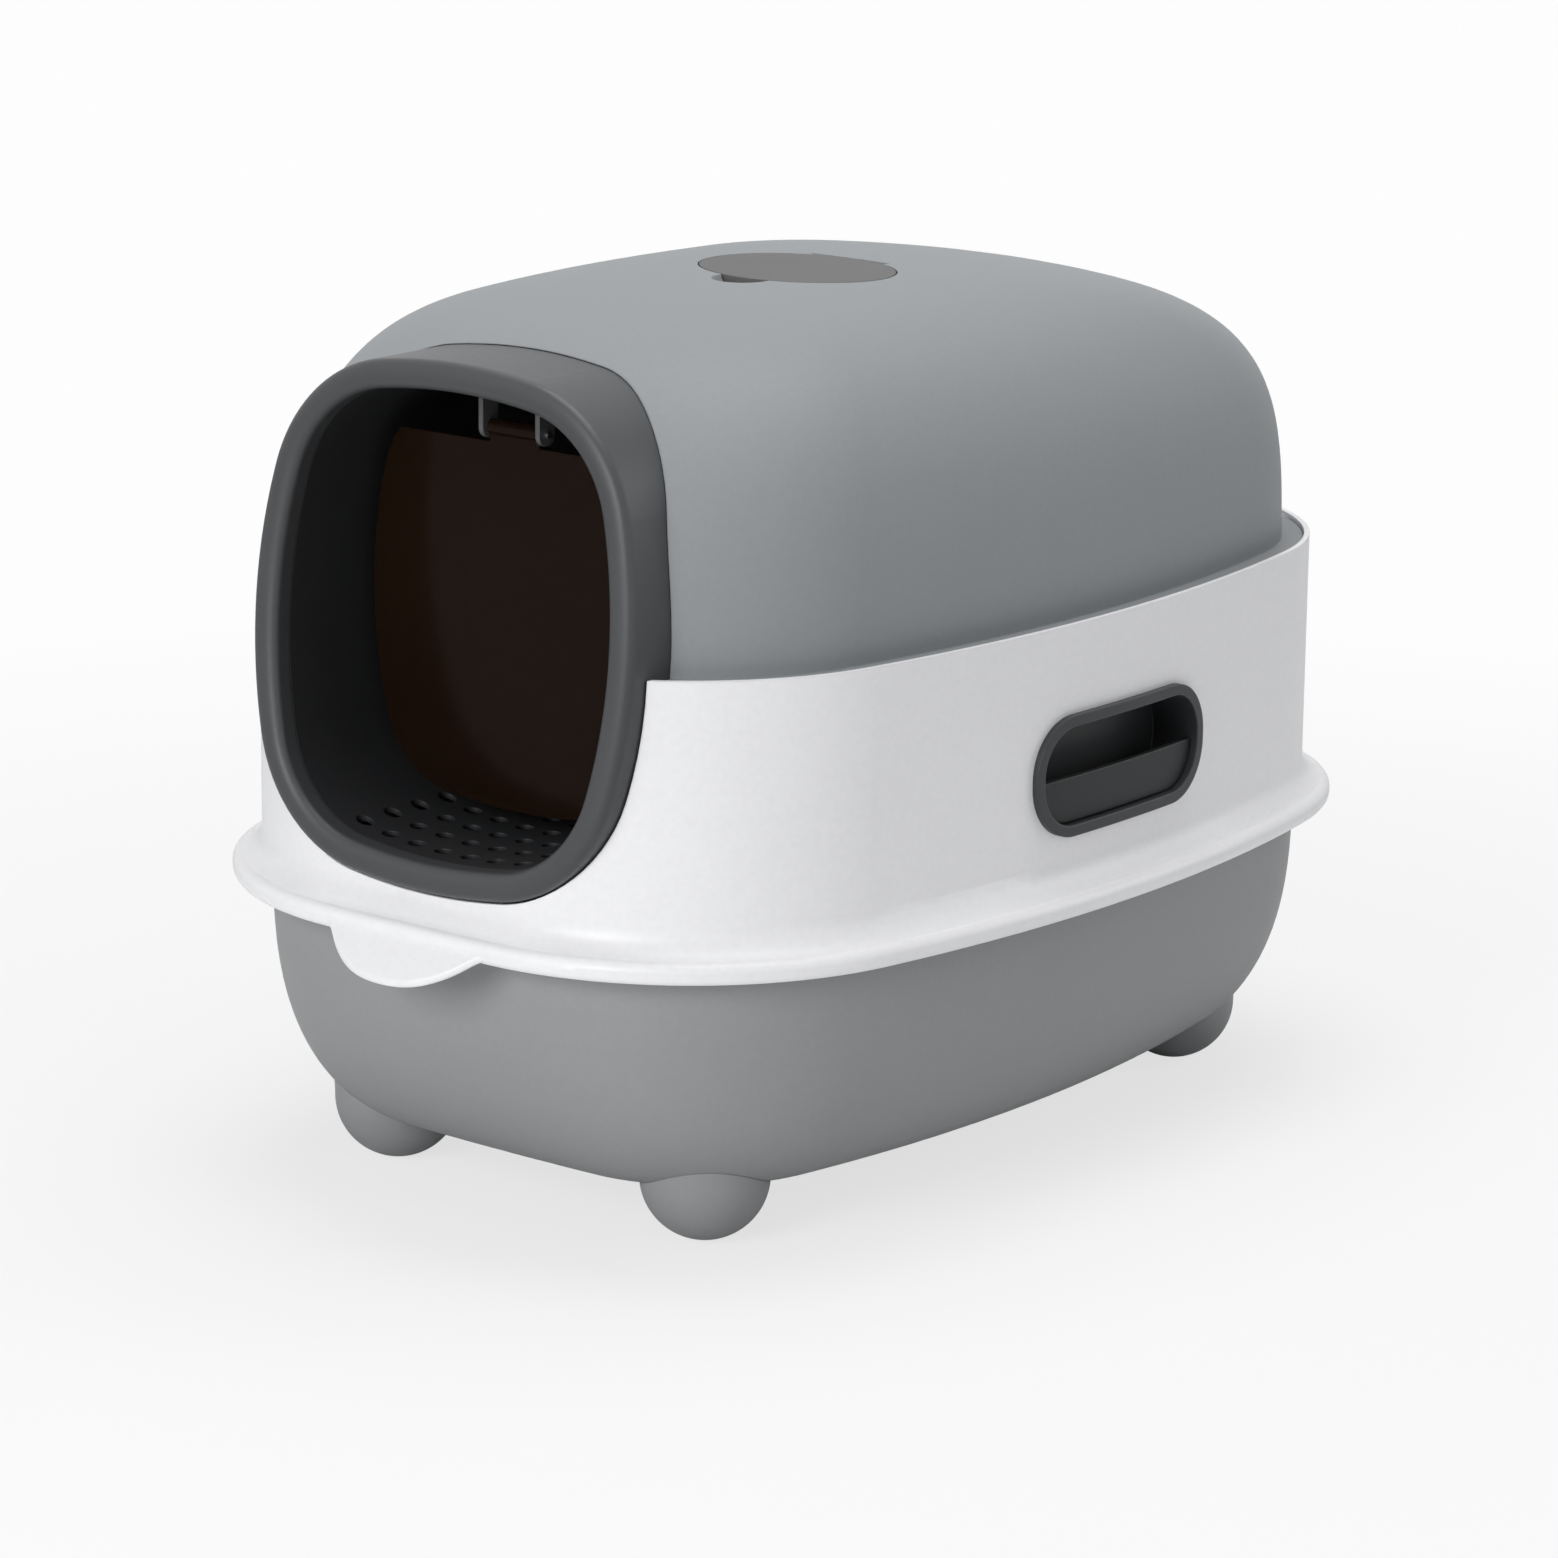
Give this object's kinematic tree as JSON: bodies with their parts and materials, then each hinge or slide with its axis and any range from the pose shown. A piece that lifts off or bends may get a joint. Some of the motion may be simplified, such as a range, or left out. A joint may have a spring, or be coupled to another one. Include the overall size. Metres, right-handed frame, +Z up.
{
  "type": "hooded litter box",
  "caption": "Enclosed hooded litter box: footed pan, white lift-off band, flip-up grey dome with a dark tunnel entry, smoked swing flap, side latch grips and an oval flip lid on the crown.",
  "frame": {"origin": "floor level, in the middle of the overall width and length", "axes": "+Z up, the entry faces -Y, +X to the right of someone looking at the entry"},
  "size_m": [0.3902, 0.56, 0.4],
  "materials": {
    "pan_plastic": "fine satin moulding",
    "band_plastic": "smooth white moulding",
    "trim_plastic": "dark satin moulding",
    "dome_plastic": "fine satin moulding",
    "lid_plastic": "satin moulding",
    "flap_smoked": "smoked clear plastic",
    "bracket_plastic": "light grey moulding",
    "pin_steel": "drawn wire",
    "filter_felt": "carbon felt"
  },
  "bodies": {
    "pan": {"base_pan": "pan_plastic", "foot_front_left": "pan_plastic", "foot_front_right": "pan_plastic", "foot_rear_left": "pan_plastic", "foot_rear_right": "pan_plastic"},
    "upper": {"band": "band_plastic", "latch_housing_right": "trim_plastic", "latch_housing_left": "trim_plastic", "latch_pin_right": "pin_steel", "latch_pin_left": "pin_steel", "hood_pin_right": "pin_steel", "hood_pin_left": "pin_steel"},
    "hood": {"dome": "dome_plastic", "entry_collar": "trim_plastic", "entry_tunnel": "trim_plastic", "flap_brackets": "bracket_plastic", "flap_pin": "pin_steel", "lid_pin": "pin_steel", "filter_tray": "trim_plastic", "filter_pad": "filter_felt"},
    "flap": {"flap": "flap_smoked"},
    "lid": {"top_lid": "lid_plastic"},
    "paddle_right": {"latch_paddle_right": "trim_plastic"},
    "paddle_left": {"latch_paddle_left": "trim_plastic"}
  },
  "joints": [
    {"name": "upper_lift", "type": "slide", "parent": "pan", "child": "upper", "axis": [0, 0, 1], "range_m": [0, 0.16]},
    {"name": "hood_flip", "type": "hinge", "parent": "upper", "child": "hood", "pos_m": [0, 0.2585, 0.262], "axis": [-1, 0, 0], "range_deg": [0, 90]},
    {"name": "flap_swing", "type": "hinge", "parent": "hood", "child": "flap", "pos_m": [0, -0.19, 0.352], "axis": [1, 0, 0], "range_deg": [-70, 70]},
    {"name": "lid_flip", "type": "hinge", "parent": "hood", "child": "lid", "pos_m": [0, 0.0408, 0.3976], "axis": [-1, 0, 0], "range_deg": [0, 95]},
    {"name": "paddle_right_pull", "type": "hinge", "parent": "upper", "child": "paddle_right", "pos_m": [0.1762, 0.012, 0.1834], "axis": [0, 1, 0], "range_deg": [0, 12], "stiffness_Nm_per_rad": 0.3},
    {"name": "paddle_left_pull", "type": "hinge", "parent": "upper", "child": "paddle_left", "pos_m": [-0.1762, 0.012, 0.1834], "axis": [0, -1, 0], "range_deg": [0, 12], "stiffness_Nm_per_rad": 0.3}
  ]
}
